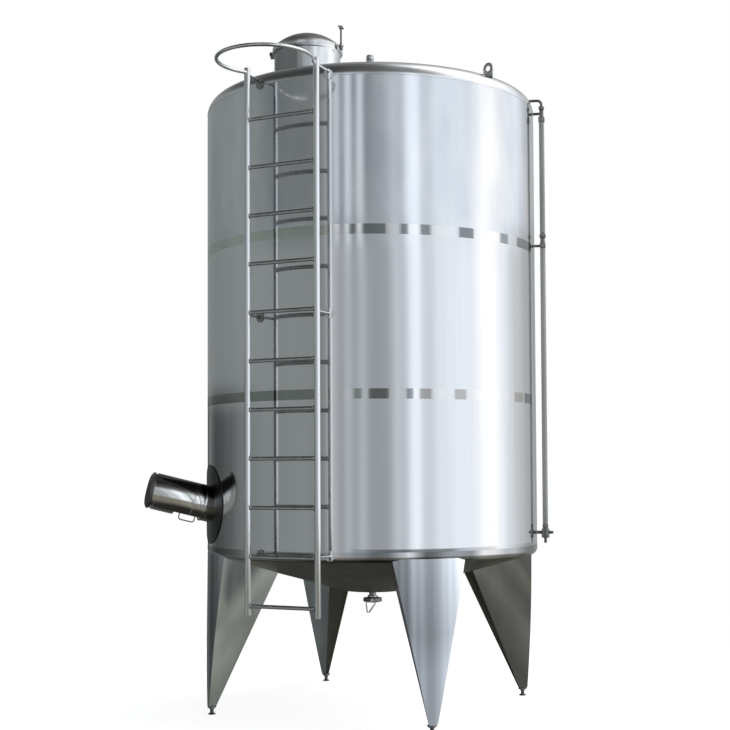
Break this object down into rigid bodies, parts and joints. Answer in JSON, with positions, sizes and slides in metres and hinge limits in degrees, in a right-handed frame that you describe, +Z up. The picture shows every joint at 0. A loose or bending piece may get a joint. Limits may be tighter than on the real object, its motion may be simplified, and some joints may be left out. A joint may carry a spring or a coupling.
{
  "type": "stainless-steel mixing tank",
  "caption": "Upright round steel mixing tank on folded legs, with dished roof, cone bottom, access ladder, hinged manway, level gauge, side drive and bottom drain valve.",
  "frame": {"origin": "the middle of the bounding box's footprint, at the underside of the feet", "axes": "+Z up along the tank's axis, -Y towards the side that the picture shows"},
  "size_m": [2.7202, 2.7338, 4.5278],
  "materials": {
    "polished_steel": "bright polished stainless sheet with faint upright streaks",
    "satin_steel": "mill-finish stainless sheet, softly reflecting",
    "cast_fittings": null,
    "sight_tube": "clear level tube, greyish, glossy"
  },
  "bodies": {
    "tank": {"shell_lower_sheet_1": "polished_steel", "shell_lower_sheet_2": "polished_steel", "shell_lower_sheet_3": "polished_steel", "shell_middle_sheet_1": "polished_steel", "shell_middle_sheet_2": "polished_steel", "shell_middle_sheet_3": "polished_steel", "shell_upper_sheet_1": "polished_steel", "shell_upper_sheet_2": "polished_steel", "shell_upper_sheet_3": "polished_steel", "roof_end": "polished_steel", "ladder_stile_left": "polished_steel", "ladder_stile_right": "polished_steel", "ladder_hoop": "polished_steel", "agitator_motor_shroud": "polished_steel", "bottom_end": "satin_steel", "leg_1": "satin_steel", "leg_2": "satin_steel", "leg_3": "satin_steel", "leg_4": "satin_steel", "ladder_rung_01": "satin_steel", "ladder_rung_02": "satin_steel", "ladder_rung_03": "satin_steel", "ladder_rung_04": "satin_steel", "ladder_rung_05": "satin_steel", "ladder_rung_06": "satin_steel", "ladder_rung_07": "satin_steel", "ladder_rung_08": "satin_steel", "ladder_rung_09": "satin_steel", "ladder_rung_10": "satin_steel", "ladder_rung_11": "satin_steel", "lifting_lug_1": "satin_steel", "lifting_lug_2": "satin_steel", "manway_neck": "satin_steel", "roof_inlet_stub": "satin_steel", "agitator_pad": "satin_steel", "agitator_nozzle": "satin_steel", "drain_neck": "satin_steel", "foot_1": "cast_fittings", "foot_2": "cast_fittings", "foot_3": "cast_fittings", "foot_4": "cast_fittings", "manway_hinge_pin": "cast_fittings", "gauge_top_fitting": "cast_fittings", "gauge_middle_fitting": "cast_fittings", "gauge_bottom_valve": "cast_fittings", "agitator_fan_cover": "cast_fittings", "agitator_lifting_loop": "cast_fittings", "drain_valve": "cast_fittings", "gauge_tube_upper": "sight_tube", "gauge_tube_lower": "sight_tube"},
    "lid": {"manway_lid": "satin_steel", "manway_clamp_screw": "cast_fittings"},
    "drain_handle": {"drain_lever": "satin_steel"},
    "gauge_handle": {"gauge_valve_handle": "cast_fittings"}
  },
  "joints": [
    {"name": "manway_lid_hinge", "type": "hinge", "parent": "tank", "child": "lid", "pos_m": [-0.50788, -0.03617, 4.409], "axis": [-0.4602, -0.8878, 0], "range_deg": [0, 105]},
    {"name": "drain_valve_turn", "type": "hinge", "parent": "tank", "child": "drain_handle", "pos_m": [0.14539, 0.16358, 0.71444], "axis": [0, 1, 0], "range_deg": [0, 90]},
    {"name": "gauge_valve_turn", "type": "hinge", "parent": "tank", "child": "gauge_handle", "pos_m": [1.34, -0.01205, 1.18], "axis": [0.9781, -0.2079, 0], "range_deg": [0, 90]}
  ]
}
